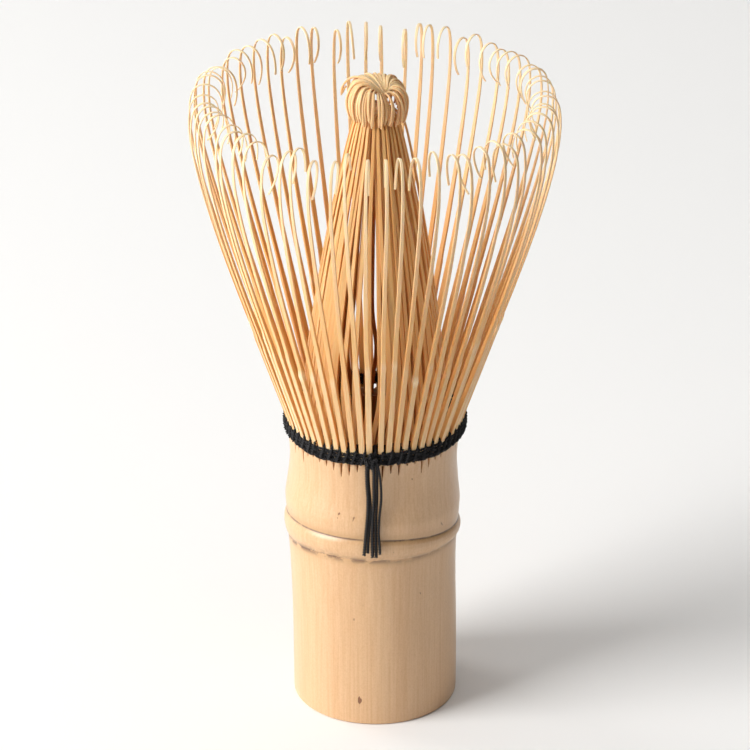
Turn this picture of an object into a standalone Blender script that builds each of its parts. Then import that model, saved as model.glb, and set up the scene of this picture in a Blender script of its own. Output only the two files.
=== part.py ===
"""Bamboo tea whisk (chasen), built as the solids that it is cut and bound from.

One bamboo culm makes the handle and every tine. Its top is split into sixteen splints, and each
splint is pared into four outer and four inner tines, so the tines come here as sixteen outer and
sixteen inner combs. Black thread binds the outer tines in two rounds, and its ends hang in front.

The origin is the centre of the foot, +Z runs up the culm, and the thread's knot faces -Y.
Lengths below are in millimetres and angles in degrees.
"""

import math

import bmesh
import bpy
from mathutils import Matrix, Vector

MM = 0.001

# The culm.
FOOT_RADIUS = 13.2
RIDGE_RADIUS = 14.1
WAIST_RADIUS = 13.3
TOP_RADIUS = 13.65
BORE_RADIUS = 9.9
CUP_RADIUS = 10.5
RIDGE_HEIGHT = 31.0
SEPTUM_BOTTOM = 29.4
SEPTUM_TOP = 32.0
CULM_TOP = 47.7
CULM_STEPS = 36

# The splints, and the cut that parts them from the culm.
SPLINTS = 16
TINES_PER_COMB = 4
TINE_PITCH = 360 / (SPLINTS * TINES_PER_COMB)
CUT_GAP = 0.3
FLEX_HEIGHT = 49.0

# Outer combs.
OUTER_ROOT_RADII = (12.8, 14.05)
OUTER_ROOT = (CULM_TOP + CUT_GAP, CULM_TOP + 1.3)
OUTER_START = (13.65, 48.4)
OUTER_LEAN = 19.2
OUTER_WIDTH = 0.8
OUTER_THICKNESS = (0.8, 0.55, 0.3)
OUTER_FLEX_RADIUS = 13.6

# Inner combs.
INNER_ROOT_RADII = (10.9, 12.1)
INNER_ROOT = (CULM_TOP + 0.95, CULM_TOP + 1.85)
INNER_WIDTH = 0.42
INNER_THICKNESS = (0.55, 0.4, 0.24)
INNER_FLEX_RADIUS = 0.0

# The binding thread.
ROUND_RADII = (14.5, 15.0)
LOWER_ROUND = (48.0, 49.2)
UPPER_ROUND = (49.4, 50.6)
INNER_ROUND_RADII = (12.35, 12.85)
INNER_ROUND = (49.5, 50.6)
ROUND_STEPS = 36
KNOT_CENTRE = (-0.6, -15.65, 49.2)
KNOT_RADII = (1.15, 0.45, 1.2)
TAIL_RADIUS = 0.26
TAIL_LENGTH = 16.0
TAIL_PIVOT = (-0.6, -15.1, 47.65)

BAMBOO_SKIN = ("bamboo_skin", (0.76, 0.58, 0.38), 0.45)
BAMBOO_FLESH = ("bamboo_flesh", (0.82, 0.6, 0.34), 0.6)
BLACK_COTTON = ("black_cotton", (0.012, 0.012, 0.014), 0.9)


def clear_scene():
    for obj in list(bpy.data.objects):
        bpy.data.objects.remove(obj)


def new_collection(name):
    collection = bpy.data.collections.new(name)
    bpy.context.scene.collection.children.link(collection)
    return collection


def material(name, colour, roughness):
    found = bpy.data.materials.get(name)
    if found:
        return found
    made = bpy.data.materials.new(name)
    made.use_nodes = True
    shader = made.node_tree.nodes["Principled BSDF"]
    shader.inputs["Base Color"].default_value = (*colour, 1.0)
    shader.inputs["Roughness"].default_value = roughness
    shader.inputs["Metallic"].default_value = 0.0
    return made


def place(name, data, collection, finish):
    obj = bpy.data.objects.new(name, data)
    collection.objects.link(obj)
    if not data.materials:
        data.materials.append(material(*finish))
    return obj


def turned(name, profile, steps, collection, finish, closed=False):
    """A solid of revolution: profile is (radius, height) points that run down its outer side."""
    count = len(profile)
    mesh = bpy.data.meshes.new(name)
    edges = [(i, i + 1) for i in range(count - 1)]
    if closed:
        edges.append((count - 1, 0))
    mesh.from_pydata([(r * MM, 0.0, z * MM) for r, z in profile], edges, [])
    obj = place(name, mesh, collection, finish)
    screw = obj.modifiers.new("turn", "SCREW")
    screw.axis = "Z"
    screw.steps = steps
    screw.render_steps = steps
    screw.use_merge_vertices = True
    screw.merge_threshold = 0.00001
    screw.use_smooth_shade = True
    return obj


def flat_curve(name, outline, thickness, collection):
    """A closed (x, y) outline, filled and thickened evenly to both sides of its plane."""
    curve = bpy.data.curves.new(name, "CURVE")
    curve.dimensions = "2D"
    curve.fill_mode = "BOTH"
    curve.extrude = thickness * MM / 2
    spline = curve.splines.new("POLY")
    spline.points.add(len(outline) - 1)
    for point, (x, y) in zip(spline.points, outline):
        point.co = (x * MM, y * MM, 0.0, 1.0)
    spline.use_cyclic_u = True
    obj = bpy.data.objects.new(name, curve)
    collection.objects.link(obj)
    return obj


def as_mesh(obj, placing):
    """The curve object as a mesh object with its caps welded, its place applied to its points."""
    collection = obj.users_collection[0]
    name = obj.name
    bpy.context.view_layer.update()
    graph = bpy.context.evaluated_depsgraph_get()
    mesh = bpy.data.meshes.new_from_object(obj.evaluated_get(graph))
    shape = bmesh.new()
    shape.from_mesh(mesh)
    bmesh.ops.remove_doubles(shape, verts=shape.verts, dist=0.000001)
    bmesh.ops.transform(shape, matrix=placing, verts=shape.verts)
    shape.to_mesh(mesh)
    shape.free()
    bpy.data.objects.remove(obj)
    made = bpy.data.objects.new(name, mesh)
    collection.objects.link(made)
    return made


def joined_mesh(name, base, others, collection):
    """The Boolean union of mesh objects, as one mesh, with the helper objects taken away."""
    group = bpy.data.collections.new(name + "_parts")
    collection.children.link(group)
    for obj in others:
        group.objects.link(obj)
    join = base.modifiers.new("join", "BOOLEAN")
    join.operation = "UNION"
    join.solver = "EXACT"
    join.operand_type = "COLLECTION"
    join.collection = group
    bpy.context.view_layer.update()
    graph = bpy.context.evaluated_depsgraph_get()
    mesh = bpy.data.meshes.new_from_object(base.evaluated_get(graph))
    mesh.name = name
    for obj in [base, *others]:
        bpy.data.objects.remove(obj)
    bpy.data.collections.remove(group)
    return mesh


def walk(start, heading, moves):
    """Stations (radius, height, heading) of a line in the radial plane. A heading of 0 is straight up
    and 90 is outwards. Each move is (length, turn, steps): an arc of that length that turns so far."""
    r, z = start
    stations = [(r, z, heading)]
    for length, turn, steps in moves:
        for _ in range(steps):
            middle = math.radians(heading + turn / steps / 2)
            r += length / steps * math.sin(middle)
            z += length / steps * math.cos(middle)
            heading += turn / steps
            stations.append((r, z, heading))
    return stations


def strip_outline(stations, thickness):
    """The side view of a tine: both faces of the line, thickness apart, from root to tip."""
    root, middle, tip = thickness
    last = len(stations) - 1
    outer, inner = [], []
    for i, (r, z, heading) in enumerate(stations):
        along = i / last
        depth = root + (middle - root) * min(1.0, 2 * along) + (tip - middle) * max(0.0, 2 * along - 1)
        across = math.radians(heading + 90)
        dr = math.sin(across) * depth / 2
        dz = math.cos(across) * depth / 2
        outer.append((r + dr, z + dz))
        inner.append((r - dr, z - dz))
    return outer + inner[::-1]


def sector_outline(radii, half_angle, steps):
    """A slice of a ring about the +X axis: the outer arc, then the inner arc back."""
    low, high = radii
    angles = [math.radians(half_angle * (2 * i / steps - 1)) for i in range(steps + 1)]
    outer = [(high * math.cos(a), high * math.sin(a)) for a in angles]
    inner = [(low * math.cos(a), low * math.sin(a)) for a in reversed(angles)]
    return outer + inner


def comb_mesh(name, radii, heights, tines, width, collection):
    """Four tines on the slice of culm wall that they are split from, about the +X direction.
    tines holds each tine's side outline, in order round the culm."""
    bottom, top = heights
    half_slice = 180 / SPLINTS - math.degrees(CUT_GAP / 2 / radii[0])
    outline = sector_outline(radii, half_slice, 2)
    slice_curve = flat_curve(name + "_root", outline, top - bottom, collection)
    root = as_mesh(slice_curve, Matrix.Translation((0, 0, (bottom + top) / 2 * MM)))
    stand_up = Matrix.Rotation(math.radians(90), 4, "X")
    blades = []
    for i, side in enumerate(tines):
        angle = math.radians((i - (TINES_PER_COMB - 1) / 2) * TINE_PITCH)
        blade = flat_curve(f"{name}_tine_{i}", side, width, collection)
        blades.append(as_mesh(blade, Matrix.Rotation(angle, 4, "Z") @ stand_up))
    return joined_mesh(name, root, blades, collection)


def place_combs(label, mesh, flex_radius, collection):
    """One comb for each splint, each under an empty that stands on its line of flexing: on the wall
    for the outer combs, and on the culm's centre line for the inner ones, which sway together."""
    for i in range(SPLINTS):
        angle = math.radians((i + 0.5) * 360 / SPLINTS)
        empty = bpy.data.objects.new(f"{label}_flex_{i + 1:02d}", None)
        collection.objects.link(empty)
        flex = Vector((flex_radius * math.cos(angle), flex_radius * math.sin(angle), FLEX_HEIGHT))
        empty.location = flex * MM
        empty.rotation_euler.z = angle
        comb = place(f"{label}_tines_{i + 1:02d}", mesh, collection, BAMBOO_FLESH)
        comb.parent = empty
        comb.location = Vector((-flex_radius, 0, -FLEX_HEIGHT)) * MM


def build_handle(collection):
    """The culm: open below, closed inside at the node by its septum, and cupped above it."""
    septum_and_cup = [
        (0.0, SEPTUM_TOP),
        (CUP_RADIUS - 2.6, SEPTUM_TOP + 0.5),
        (CUP_RADIUS - 0.9, SEPTUM_TOP + 2.2),
        (CUP_RADIUS, CULM_TOP - 5.0),
        (CUP_RADIUS, CULM_TOP),
    ]
    outside = [
        (TOP_RADIUS, CULM_TOP),
        (WAIST_RADIUS + 0.07, 44.8),
        (WAIST_RADIUS, 41.8),
        (WAIST_RADIUS + 0.3, 38.6),
        (WAIST_RADIUS + 0.67, 35.3),
        (WAIST_RADIUS + 0.45, 32.9),
        (RIDGE_RADIUS, RIDGE_HEIGHT + 0.7),
        (RIDGE_RADIUS, RIDGE_HEIGHT - 0.7),
        (FOOT_RADIUS + 0.4, 28.4),
        (FOOT_RADIUS + 0.15, 24.0),
        (FOOT_RADIUS, 0.5),
        (FOOT_RADIUS - 0.5, 0.0),
    ]
    bore = [
        (BORE_RADIUS + 0.5, 0.0),
        (BORE_RADIUS, 0.5),
        (BORE_RADIUS, SEPTUM_BOTTOM - 2.0),
        (BORE_RADIUS - 1.8, SEPTUM_BOTTOM - 0.3),
        (0.0, SEPTUM_BOTTOM),
    ]
    turned("bamboo_handle", septum_and_cup + outside + bore, CULM_STEPS, collection, BAMBOO_SKIN)


def build_outer_combs(collection):
    """Sprung blades that lean out from the thread, bow upright and end in an inward curl."""
    stations = walk(
        OUTER_START,
        2.0,
        [
            (1.2, 3.0, 1),
            (1.8, OUTER_LEAN - 5.0, 1),
            (25.4, -1.0, 1),
            (18.4, -4.6, 1),
            (8.6, -14.6, 1),
            (5.9, -86.0, 3),
            (2.9, -90.0, 2),
            (2.8, -27.0, 1),
        ],
    )
    blade = strip_outline(stations, OUTER_THICKNESS)
    tines = [blade] * TINES_PER_COMB
    mesh = comb_mesh("outer_tines", OUTER_ROOT_RADII, OUTER_ROOT, tines, OUTER_WIDTH, collection)
    place_combs("outer", mesh, OUTER_FLEX_RADIUS, collection)


def inner_blade(neck_radius, crown_height, tip_radius, tip_height):
    """The side outline of an inner tine: it leans in to the neck, and its tip rolls over and down."""
    roll = (tip_radius - neck_radius + 0.3) / 2
    leaning = [(11.65, 49.0, -6.0), (10.0, 65.3, -8.0), (neck_radius, 100.3, -7.0)]
    rolling = walk((neck_radius - 0.3, crown_height - roll), 0.0, [(math.pi * roll, 180.0, 4)])
    hanging = [(tip_radius, tip_height, 180.0)]
    return strip_outline(leaning + rolling + hanging, INNER_THICKNESS)


def build_inner_combs(collection):
    """Finer blades that gather to a neck, where every second one lies inside its neighbours."""
    under = inner_blade(4.05, 106.1, 4.5, 101.9)
    over = inner_blade(3.3, 108.1, 4.85, 100.3)
    tines = [under, over] * (TINES_PER_COMB // 2)
    mesh = comb_mesh("inner_tines", INNER_ROOT_RADII, INNER_ROOT, tines, INNER_WIDTH, collection)
    place_combs("inner", mesh, INNER_FLEX_RADIUS, collection)


def thread_round(name, radii, heights, collection):
    """One round of thread: a ring of six-sided section that runs down its outer side."""
    low, high = radii
    bottom, top = heights
    edge = (top - bottom) / 4
    section = [
        ((low + high) / 2, top),
        (high, top - edge),
        (high, bottom + edge),
        ((low + high) / 2, bottom),
        (low, bottom + edge),
        (low, top - edge),
    ]
    turned(name, section, ROUND_STEPS, collection, BLACK_COTTON, closed=True)


def build_knot(collection):
    mesh = bpy.data.meshes.new("thread_knot")
    shape = bmesh.new()
    bmesh.ops.create_uvsphere(shape, u_segments=12, v_segments=8, radius=1.0)
    scale = Matrix.Diagonal((*(r * MM for r in KNOT_RADII), 1.0))
    bmesh.ops.transform(shape, matrix=scale, verts=shape.verts)
    shape.to_mesh(mesh)
    shape.free()
    mesh.shade_smooth()
    knot = place("thread_knot", mesh, collection, BLACK_COTTON)
    knot.location = Vector(KNOT_CENTRE) * MM


def tail_route(across, spread, bow):
    """Points down from the pivot's height: the tail hangs plumb in front of the culm, drifts
    sideways by spread, and bows sideways by bow at its middle. They are relative to the pivot."""
    steps = 8
    fractions = [i / steps for i in range(steps + 1)]
    return [
        Vector((across + spread * t + bow * math.sin(math.pi * t), 0.0, -TAIL_LENGTH * t))
        for t in fractions
    ]


def build_tails(collection):
    """The loose ends of the thread, a pair to the left, a pair in the middle and one to the right."""
    hang = bpy.data.objects.new("tail_pivot", None)
    collection.objects.link(hang)
    hang.location = Vector(TAIL_PIVOT) * MM
    tails = [(-0.9, -0.3, 0.3), (-0.3, -0.3, 0.25), (0.32, -0.1, 0.1), (0.92, -0.05, 0.1), (1.52, 0.0, 0.2)]
    for i, (across, spread, bow) in enumerate(tails):
        curve = bpy.data.curves.new(f"thread_tail_{i + 1}", "CURVE")
        curve.dimensions = "3D"
        curve.bevel_depth = TAIL_RADIUS * MM
        curve.bevel_resolution = 2
        curve.use_fill_caps = True
        spline = curve.splines.new("POLY")
        route = tail_route(across, spread, bow)
        spline.points.add(len(route) - 1)
        for point, co in zip(spline.points, route):
            point.co = (*co * MM, 1.0)
        tail = place(f"thread_tail_{i + 1}", curve, collection, BLACK_COTTON)
        tail.parent = hang


def main():
    clear_scene()
    whisk = new_collection("bamboo_tea_whisk")
    build_handle(whisk)
    build_outer_combs(whisk)
    build_inner_combs(whisk)
    thread_round("thread_lower_round", ROUND_RADII, LOWER_ROUND, whisk)
    thread_round("thread_upper_round", ROUND_RADII, UPPER_ROUND, whisk)
    thread_round("thread_inner_round", INNER_ROUND_RADII, INNER_ROUND, whisk)
    build_knot(whisk)
    build_tails(whisk)


main()
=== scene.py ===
"""A bamboo tea whisk (chasen) in fine detail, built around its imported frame.

Every shape is worked out as a numpy surface. Lengths inside the shape functions are millimetres, and
the finished points are turned to metres when they go into a mesh.
"""

import math

import bpy
import numpy as np
from bpy.props import FloatProperty, FloatVectorProperty, PointerProperty
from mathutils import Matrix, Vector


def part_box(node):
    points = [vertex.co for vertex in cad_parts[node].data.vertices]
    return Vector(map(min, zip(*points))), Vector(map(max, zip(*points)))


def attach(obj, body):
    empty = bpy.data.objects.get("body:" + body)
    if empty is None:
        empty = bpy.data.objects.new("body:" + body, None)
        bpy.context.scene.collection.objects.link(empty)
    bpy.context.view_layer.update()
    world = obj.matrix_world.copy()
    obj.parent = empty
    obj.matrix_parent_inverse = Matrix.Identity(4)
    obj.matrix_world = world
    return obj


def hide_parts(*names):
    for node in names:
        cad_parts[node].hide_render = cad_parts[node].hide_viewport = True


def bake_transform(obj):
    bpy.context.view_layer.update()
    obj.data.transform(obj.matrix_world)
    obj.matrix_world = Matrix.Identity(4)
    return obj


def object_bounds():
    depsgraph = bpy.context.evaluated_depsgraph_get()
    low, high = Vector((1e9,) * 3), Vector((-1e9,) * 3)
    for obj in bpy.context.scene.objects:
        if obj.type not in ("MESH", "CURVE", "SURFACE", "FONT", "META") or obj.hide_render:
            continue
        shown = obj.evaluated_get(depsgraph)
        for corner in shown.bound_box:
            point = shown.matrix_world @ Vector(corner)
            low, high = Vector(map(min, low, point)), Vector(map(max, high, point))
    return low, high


bl_info = {
    "name": "Bamboo Tea Whisk",
    "version": (1, 0, 0),
    "blender": (4, 5, 0),
    "location": "View3D > Sidebar > Tea Whisk",
    "description": "Builds a carved bamboo tea whisk with its curled tines and thread binding",
    "category": "Add Mesh",
}

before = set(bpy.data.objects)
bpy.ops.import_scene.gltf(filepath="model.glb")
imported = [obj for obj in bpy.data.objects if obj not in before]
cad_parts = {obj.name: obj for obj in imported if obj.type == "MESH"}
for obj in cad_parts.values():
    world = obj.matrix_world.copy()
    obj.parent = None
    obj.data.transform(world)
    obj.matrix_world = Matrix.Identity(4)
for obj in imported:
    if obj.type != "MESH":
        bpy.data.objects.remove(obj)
CAD_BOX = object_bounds()

MM = 0.001
SPLINTS = 16
TINES_PER_SPLINT = 4
TINES = SPLINTS * TINES_PER_SPLINT
PITCH = 2 * math.pi / TINES


def frame_box(node):
    """A frame node's lowest and highest corner in millimetres."""
    low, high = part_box(node)
    return np.array(low) / MM, np.array(high) / MM


HANDLE_LOW, HANDLE_HIGH = frame_box("bamboo_handle")
LOWER_ROUND_LOW, LOWER_ROUND_HIGH = frame_box("thread_lower_round")
UPPER_ROUND_LOW, UPPER_ROUND_HIGH = frame_box("thread_upper_round")
INNER_ROUND_LOW, INNER_ROUND_HIGH = frame_box("thread_inner_round")
KNOT_LOW, KNOT_HIGH = frame_box("thread_knot")
CROWN_TOP = CAD_BOX[1].z / MM
CULM_TOP = HANDLE_HIGH[2]

# Materials' names, and plain white and black for ramps.
BAMBOO_SKIN = "dried_bamboo_skin_rubbed"
COTTON = "dyed_black_cotton_thread"
WHITE = (1.0, 1.0, 1.0)
BLACK = (0.0, 0.0, 0.0)


def linear(code):
    """An sRGB hex colour as linear red, green and blue."""
    channels = [int(code[i : i + 2], 16) / 255 for i in (1, 3, 5)]
    return tuple(c / 12.92 if c <= 0.04045 else ((c + 0.055) / 1.055) ** 2.4 for c in channels)


# ------------------------------
# Settings


def length(name, description, default_mm):
    default = default_mm * MM
    return FloatProperty(name=name, description=description, default=default, unit="LENGTH", precision=5)


def colour(name, description, code):
    default = linear(code)
    return FloatVectorProperty(
        name=name, description=description, default=default, subtype="COLOR", min=0, max=1
    )


def power(name, description, watts):
    return FloatProperty(name=name, description=description, default=watts, unit="POWER")


class WhiskCulm(bpy.types.PropertyGroup):
    foot_radius: length("Foot radius", "Radius of the culm at its sawn foot", 13.2)
    ridge_radius: length("Ridge radius", "Radius of the culm at the node's ridge", HANDLE_HIGH[0])
    waist_radius: length("Waist radius", "Radius of the culm at its waist below the thread", 13.3)
    top_radius: length("Top radius", "Radius of the culm where its splints begin", 13.65)
    bore_radius: length("Bore radius", "Radius of the hollow below the septum", 9.9)
    cup_radius: length("Cup radius", "Radius of the hollow above the septum", 10.5)
    slit_depth: length("Slit depth", "Depth of the knife's slits below the thread", 0.6)
    bend: length("Bend", "How far the culm bows to its left at the node", 0.4)
    skin: colour("Skin", "Dried bamboo skin", "#DEB182")
    skin_dark: colour("Skin streaks", "Darker fibres in the skin", "#D09C66")
    groove: colour("Groove", "Old growth in the node's grooves", "#5B3C22")
    cut: colour("Cut fibre", "Inside of the slits and the sawn ends", "#B57B42")


class WhiskOuterTines(bpy.types.PropertyGroup):
    root_width: length("Root width", "Width of an outer tine at the thread", 0.92)
    tip_width: length("Tip width", "Width of an outer tine at its tip", 0.4)
    root_thickness: length("Root thickness", "Thickness of an outer tine at the thread", 0.8)
    tip_thickness: length("Tip thickness", "Thickness of an outer tine at its tip", 0.2)
    wander: length("Wander", "How far the tips stand out of even spacing", 0.42)
    skin: colour("Skin side", "Pale skin on the outside of a tine", "#F0D3AC")
    flesh: colour("Flesh side", "Golden flesh on the inside of a tine", "#F2C277")
    side: colour("Cut sides", "Knife-cut edges of a tine", "#EFBB72")


class WhiskInnerTines(bpy.types.PropertyGroup):
    root_width: length("Root width", "Width of an inner tine at its root", 0.84)
    tip_width: length("Tip width", "Width of an inner tine in the crown", 0.46)
    neck_radius: length("Neck radius", "Radius of the bundle below the crown", 4.0)
    crown_radius: length("Crown radius", "Radius of the rolled crown", 4.75)
    face: colour("Face", "Outside of an inner tine", "#F0C78A")
    side: colour("Cut sides", "Knife-cut edges of an inner tine", "#E8AB5C")


class WhiskThread(bpy.types.PropertyGroup):
    ply_radius: length("Ply radius", "Radius of one ply of the thread", 0.145)
    turn: length("Turn", "Length of thread in which its plies go round once", 0.95)
    cotton: colour("Cotton", "Black dyed cotton", "#121113")


class WhiskStage(bpy.types.PropertyGroup):
    floor: colour("Floor", "Pale studio floor", "#F7F6F4")
    key: power("Side light", "Power of the tall soft light", 22.0)
    top: power("Top light", "Power of the wide light overhead", 19.0)
    rim: power("Rim light", "Power of the light behind the left side", 3.0)
    fill: FloatProperty(name="Surround", description="Strength of the even white surround", default=0.06)
    lens: FloatProperty(name="Lens", description="Focal length", default=220.6, subtype="DISTANCE_CAMERA")


GROUPS = {
    "whisk_culm": WhiskCulm,
    "whisk_outer": WhiskOuterTines,
    "whisk_inner": WhiskInnerTines,
    "whisk_thread": WhiskThread,
    "whisk_stage": WhiskStage,
}


# ------------------------------
# Materials


def add_node(tree, kind, settings=(), inputs=(), links=()):
    """A node with its settings, its fixed input values, and its inputs' links from other sockets."""
    node = tree.nodes.new(kind)
    for key, value in dict(settings).items():
        setattr(node, key, value)
    for key, value in dict(inputs).items():
        node.inputs[key].default_value = value
    for key, socket in dict(links).items():
        tree.links.new(socket, node.inputs[key])
    return node


def new_material(name, roughness, specular=0.5, coat=0.0, subsurface=0.0):
    material = bpy.data.materials.new(name)
    material.use_nodes = True
    shader = material.node_tree.nodes["Principled BSDF"]
    shader.inputs["Roughness"].default_value = roughness
    shader.inputs["Specular IOR Level"].default_value = specular
    shader.inputs["Coat Weight"].default_value = coat
    shader.inputs["Coat Roughness"].default_value = 0.3
    shader.inputs["Subsurface Weight"].default_value = subsurface
    shader.inputs["Subsurface Radius"].default_value = (1.0, 0.62, 0.26)
    shader.inputs["Subsurface Scale"].default_value = 0.4 * MM
    return material, material.node_tree, shader


def ramp(tree, factor, stops):
    """A colour ramp: stops are (position, linear colour)."""
    node = add_node(tree, "ShaderNodeValToRGB", links={"Fac": factor})
    elements = node.color_ramp.elements
    while len(elements) < len(stops):
        elements.new(0.5)
    for element, (position, rgb) in zip(elements, stops):
        element.position = position
        element.color = (*rgb, 1.0)
    return node.outputs["Color"]


def mixed(tree, factor, first, second, blend="MIX"):
    """Two colours mixed by a factor. A factor or colour is a socket or a value."""
    node = add_node(tree, "ShaderNodeMix", {"data_type": "RGBA", "blend_type": blend})
    for index, value in ((0, factor), (6, first), (7, second)):
        if isinstance(value, bpy.types.NodeSocket):
            tree.links.new(value, node.inputs[index])
        elif index == 0:
            node.inputs[index].default_value = value
        else:
            node.inputs[index].default_value = (*value, 1.0)
    return node.outputs[2]


def calculated(tree, operation, *operands):
    """One Math node. Each operand is a socket or a number."""
    node = add_node(tree, "ShaderNodeMath", {"operation": operation})
    for index, value in enumerate(operands):
        if isinstance(value, bpy.types.NodeSocket):
            tree.links.new(value, node.inputs[index])
        else:
            node.inputs[index].default_value = value
    return node.outputs[0]


def stretched_noise(tree, coordinates, scale, detail, roughness=0.5):
    """Noise on coordinates that are first multiplied by scale, one number for each axis, per metre."""
    mapping = add_node(tree, "ShaderNodeMapping", inputs={"Scale": scale}, links={"Vector": coordinates})
    inputs = {"Scale": 1.0, "Detail": detail, "Roughness": roughness}
    links = {"Vector": mapping.outputs["Vector"]}
    return add_node(tree, "ShaderNodeTexNoise", (), inputs, links).outputs["Fac"]


def attribute(tree, name):
    return add_node(tree, "ShaderNodeAttribute", {"attribute_name": name}).outputs["Fac"]


def scaled(tree, name, factor):
    """A mesh attribute times a socket or a number."""
    return calculated(tree, "MULTIPLY", attribute(tree, name), factor)


def bumped(tree, height, strength, distance, before=None, invert=False):
    """The normal after one Bump node, whose distance is in millimetres, on top of the normal before."""
    links = {"Height": height} if before is None else {"Height": height, "Normal": before}
    inputs = {"Strength": strength, "Distance": distance * MM}
    return add_node(tree, "ShaderNodeBump", {"invert": invert}, inputs, links).outputs["Normal"]


def bamboo_skin_material(culm):
    """Dried bamboo culm, sun-bleached and rubbed: a waxy skin with fibres 0.3 mm apart that run up the
    culm, faint broad bands, small bruises, and dark old growth in the node's grooves."""
    material, tree, shader = new_material(BAMBOO_SKIN, 0.42, 0.8, 0.45, 0.04)
    place = add_node(tree, "ShaderNodeTexCoord").outputs["Object"]
    fibres = stretched_noise(tree, place, (3000, 3000, 60), 5, 0.65)
    grit = stretched_noise(tree, place, (4200, 4200, 3000), 3, 0.6)
    bands = stretched_noise(tree, place, (300, 300, 12), 2)
    bruises = stretched_noise(tree, place, (640, 640, 330), 2, 0.55)
    base = ramp(tree, fibres, [(0.32, tuple(culm.skin_dark)), (0.62, tuple(culm.skin))])
    broad = mixed(tree, calculated(tree, "MULTIPLY", bands, 0.5), base, linear("#E8C79C"))
    speckle = ramp(tree, grit, [(0.3, linear("#E4D2BE")), (0.6, WHITE)])
    gritty = mixed(tree, 0.35, broad, speckle, "MULTIPLY")
    bruise = ramp(tree, bruises, [(0.735, WHITE), (0.77, linear("#9A7450"))])
    spotted = mixed(tree, 1.0, gritty, bruise, "MULTIPLY")
    stained = mixed(tree, scaled(tree, "stain", 0.6), spotted, linear("#C79A68"))
    broken = stretched_noise(tree, place, (420, 420, 700), 4, 0.7)
    patchy = ramp(tree, broken, [(0.4, BLACK), (0.52, WHITE)])
    patches = mixed(tree, scaled(tree, "patch", patchy), stained, linear("#6E4828"))
    faltering = ramp(tree, broken, [(0.3, (0.15, 0.15, 0.15)), (0.5, WHITE)])
    lined = mixed(tree, scaled(tree, "line", faltering), patches, tuple(culm.groove))
    spots = ramp(tree, broken, [(0.6, BLACK), (0.63, WHITE)])
    specks = mixed(tree, scaled(tree, "speck", spots), lined, linear("#1D1510"))
    fleshy = mixed(tree, attribute(tree, "cut"), specks, tuple(culm.cut))
    tree.links.new(fleshy, shader.inputs["Base Color"])
    tree.links.new(calculated(tree, "MULTIPLY_ADD", fibres, 0.2, 0.34), shader.inputs["Roughness"])
    grain = bumped(tree, fibres, 0.3, 0.04)
    fine = bumped(tree, grit, 0.35, 0.03, grain)
    dents = bumped(tree, bruises, 0.5, 0.12, fine, True)
    tree.links.new(dents, shader.inputs["Normal"])
    return material


def split_bamboo_material(name, face, back, side, subsurface):
    """Pared bamboo: long straight fibres 0.12 mm apart, a pale face, golden flesh behind it and
    warmer knife-cut edges. Thin tips let light through, so they are paler."""
    material, tree, shader = new_material(name, 0.5, 0.4, 0.0, subsurface)
    surface = add_node(tree, "ShaderNodeUVMap", {"uv_map": "surface"}).outputs["UV"]
    fibres = stretched_noise(tree, surface, (8.0, 0.16, 1.0), 3, 0.6)
    drift = stretched_noise(tree, surface, (0.9, 0.05, 1.0), 2)
    flesh = mixed(tree, attribute(tree, "face"), back, face)
    edged = mixed(tree, attribute(tree, "side"), flesh, side)
    streaks = ramp(tree, fibres, [(0.3, linear("#EACB9C")), (0.62, WHITE)])
    grained = mixed(tree, 0.75, edged, streaks, "MULTIPLY")
    tone = ramp(tree, attribute(tree, "tone"), [(0.0, linear("#F0D8AE")), (1.0, linear("#FFF9EE"))])
    toned = mixed(tree, 0.8, grained, tone, "MULTIPLY")
    drifted = mixed(tree, calculated(tree, "MULTIPLY", drift, 0.35), toned, linear("#F3D9AC"))
    tipped = mixed(tree, attribute(tree, "tip"), drifted, linear("#FBE3BE"))
    tree.links.new(tipped, shader.inputs["Base Color"])
    tree.links.new(bumped(tree, fibres, 0.3, 0.03), shader.inputs["Normal"])
    return material


def black_cotton_material(thread):
    """Dyed cotton thread: matt, with fine fibres that lie round each ply and a slight sheen of fuzz."""
    material, tree, shader = new_material(COTTON, 0.62, 0.35)
    shader.inputs["Sheen Weight"].default_value = 0.06
    shader.inputs["Sheen Roughness"].default_value = 0.5
    shader.inputs["Sheen Tint"].default_value = (0.5, 0.48, 0.5, 1.0)
    surface = add_node(tree, "ShaderNodeUVMap", {"uv_map": "surface"}).outputs["UV"]
    fibres = stretched_noise(tree, surface, (9.0, 3.0, 1.0), 3, 0.6)
    dark = tuple(0.55 * c for c in thread.cotton)
    worn = ramp(tree, fibres, [(0.35, dark), (0.8, linear("#2A282A"))])
    tree.links.new(worn, shader.inputs["Base Color"])
    tree.links.new(bumped(tree, fibres, 0.6, 0.05), shader.inputs["Normal"])
    return material


def material_once(name, build, *arguments):
    return bpy.data.materials.get(name) or build(*arguments)


# ------------------------------
# Meshes


def add_piece(name, points, faces, material, uv=None, attributes=()):
    """A mesh object from points in millimetres and faces as rows of point numbers. uv has one row for
    each corner of each face. attributes are (name, one number for each point)."""
    mesh = bpy.data.meshes.new(name)
    mesh.from_pydata((points * MM).tolist(), [], faces)
    if uv is not None:
        layer = mesh.uv_layers.new(name="surface")
        layer.data.foreach_set("uv", uv.astype(np.float32).ravel())
    for label, values in dict(attributes).items():
        store = mesh.attributes.new(label, "FLOAT", "POINT")
        store.data.foreach_set("value", np.asarray(values, np.float32).ravel())
    mesh.materials.append(material)
    mesh.validate()
    mesh.shade_smooth()
    mesh.set_sharp_from_angle(angle=math.radians(32))
    obj = bpy.data.objects.new(name, mesh)
    bpy.context.scene.collection.objects.link(obj)
    return obj


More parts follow.
